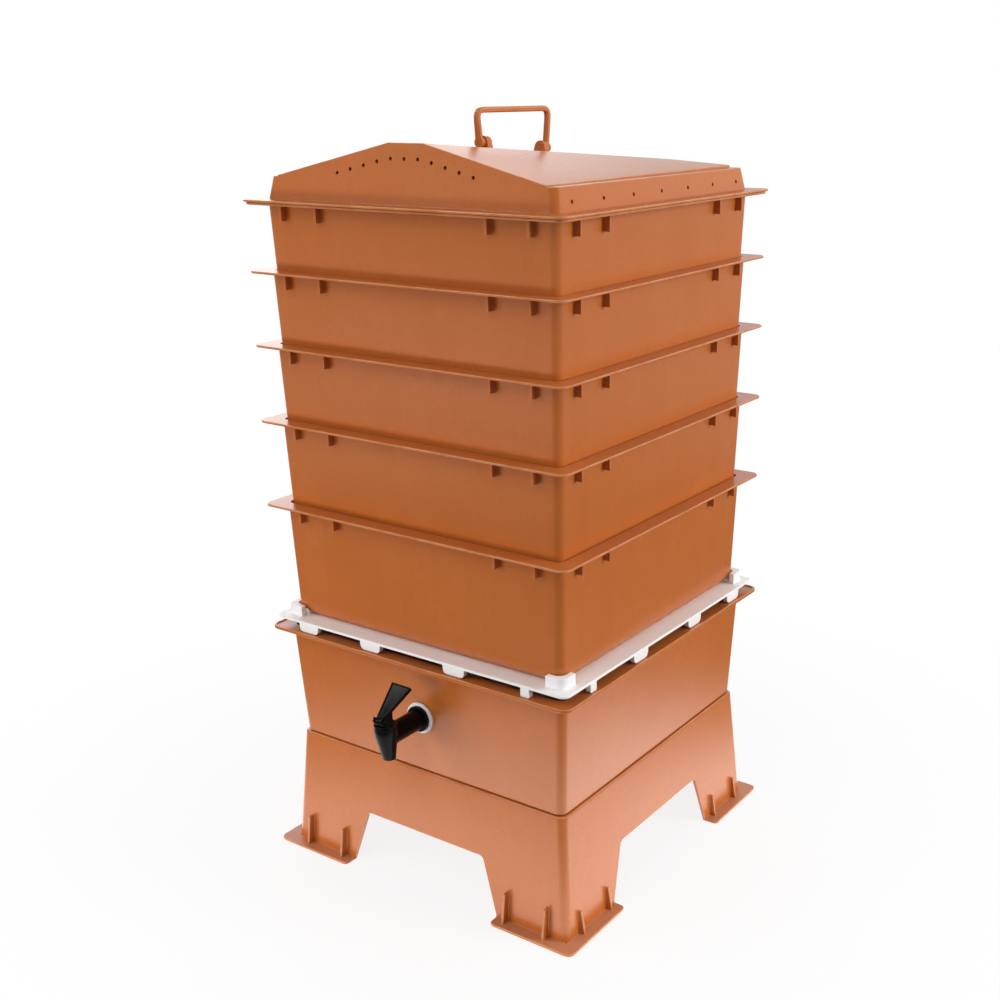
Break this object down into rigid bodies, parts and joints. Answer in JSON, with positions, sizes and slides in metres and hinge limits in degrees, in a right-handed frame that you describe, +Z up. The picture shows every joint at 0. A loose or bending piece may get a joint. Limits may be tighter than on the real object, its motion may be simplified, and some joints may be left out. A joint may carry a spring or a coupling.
{
  "type": "stacking worm composter",
  "caption": "Square stacking wormery on a four-legged stand, with nesting trays, a white spacer frame, a drain tap and a gabled lid with a folding handle.",
  "frame": {"origin": "on the floor, under the middle of the overall box, so the tower's axis stands 22 mm behind it", "axes": "+Z up, -Y towards the tap, +X to the right of somebody facing the tap"},
  "size_m": [0.409, 0.4534, 0.8225],
  "materials": {
    "terracotta_plastic": "satin moulded polypropylene with a soft sheen",
    "white_plastic": "satin moulded plastic",
    "black_plastic": "glossy moulded plastic",
    "grey_rubber": "soft moulded rubber",
    "spring_steel": "bright drawn wire"
  },
  "bodies": {
    "stand": {"stand": "terracotta_plastic"},
    "collector": {"collector": "terracotta_plastic", "tap_body": "black_plastic", "tap_bonnet": "black_plastic", "tap_outer_washer": "white_plastic", "tap_inner_washer": "white_plastic", "tap_nut": "black_plastic", "tap_lever_pin": "black_plastic", "tap_spring": "spring_steel"},
    "tap_lever": {"tap_lever": "black_plastic"},
    "tap_stem": {"tap_stem": "black_plastic", "tap_seal": "grey_rubber"},
    "spacer_frame": {"spacer_frame": "white_plastic"},
    "tray_5": {"tray_5": "terracotta_plastic"},
    "tray_4": {"tray_4": "terracotta_plastic"},
    "tray_3": {"tray_3": "terracotta_plastic"},
    "tray_2": {"tray_2": "terracotta_plastic"},
    "tray_1": {"tray_1": "terracotta_plastic"},
    "lid": {"lid": "terracotta_plastic"},
    "handle": {"handle": "terracotta_plastic"}
  },
  "joints": [
    {"name": "collector_lift", "type": "slide", "parent": "stand", "child": "collector", "axis": [0, 0, 1], "range_m": [0, 0.05]},
    {"name": "tap_lever_tilt", "type": "hinge", "parent": "collector", "child": "tap_lever", "pos_m": [0, -0.22205, 0.22], "axis": [1, 0, 0], "range_deg": [0, 35], "stiffness_Nm_per_rad": 0.02, "springref_deg": -17.19},
    {"name": "tap_stem_lift", "type": "slide", "parent": "collector", "child": "tap_stem", "axis": [0, 0, 1], "range_m": [0, 0.0046], "deforming": ["tap_spring"]},
    {"name": "spacer_frame_lift", "type": "slide", "parent": "collector", "child": "spacer_frame", "axis": [0, 0, 1], "range_m": [0, 0.05]},
    {"name": "tray_5_lift", "type": "slide", "parent": "spacer_frame", "child": "tray_5", "axis": [0, 0, 1], "range_m": [0, 0.05]},
    {"name": "tray_4_lift", "type": "slide", "parent": "tray_5", "child": "tray_4", "axis": [0, 0, 1], "range_m": [0, 0.08]},
    {"name": "tray_3_lift", "type": "slide", "parent": "tray_4", "child": "tray_3", "axis": [0, 0, 1], "range_m": [0, 0.08]},
    {"name": "tray_2_lift", "type": "slide", "parent": "tray_3", "child": "tray_2", "axis": [0, 0, 1], "range_m": [0, 0.08]},
    {"name": "tray_1_lift", "type": "slide", "parent": "tray_2", "child": "tray_1", "axis": [0, 0, 1], "range_m": [0, 0.08]},
    {"name": "lid_lift", "type": "slide", "parent": "tray_1", "child": "lid", "axis": [0, 0, 1], "range_m": [0, 0.08]},
    {"name": "handle_fold", "type": "hinge", "parent": "lid", "child": "handle", "pos_m": [0, 0.02225, 0.78301], "axis": [0, 0.9968, -0.0795], "range_deg": [-88, 88]}
  ],
  "couplings": [
    {"joint": "tap_stem_lift", "follows": "tap_lever_tilt", "m_per_rad": 0.0074}
  ]
}
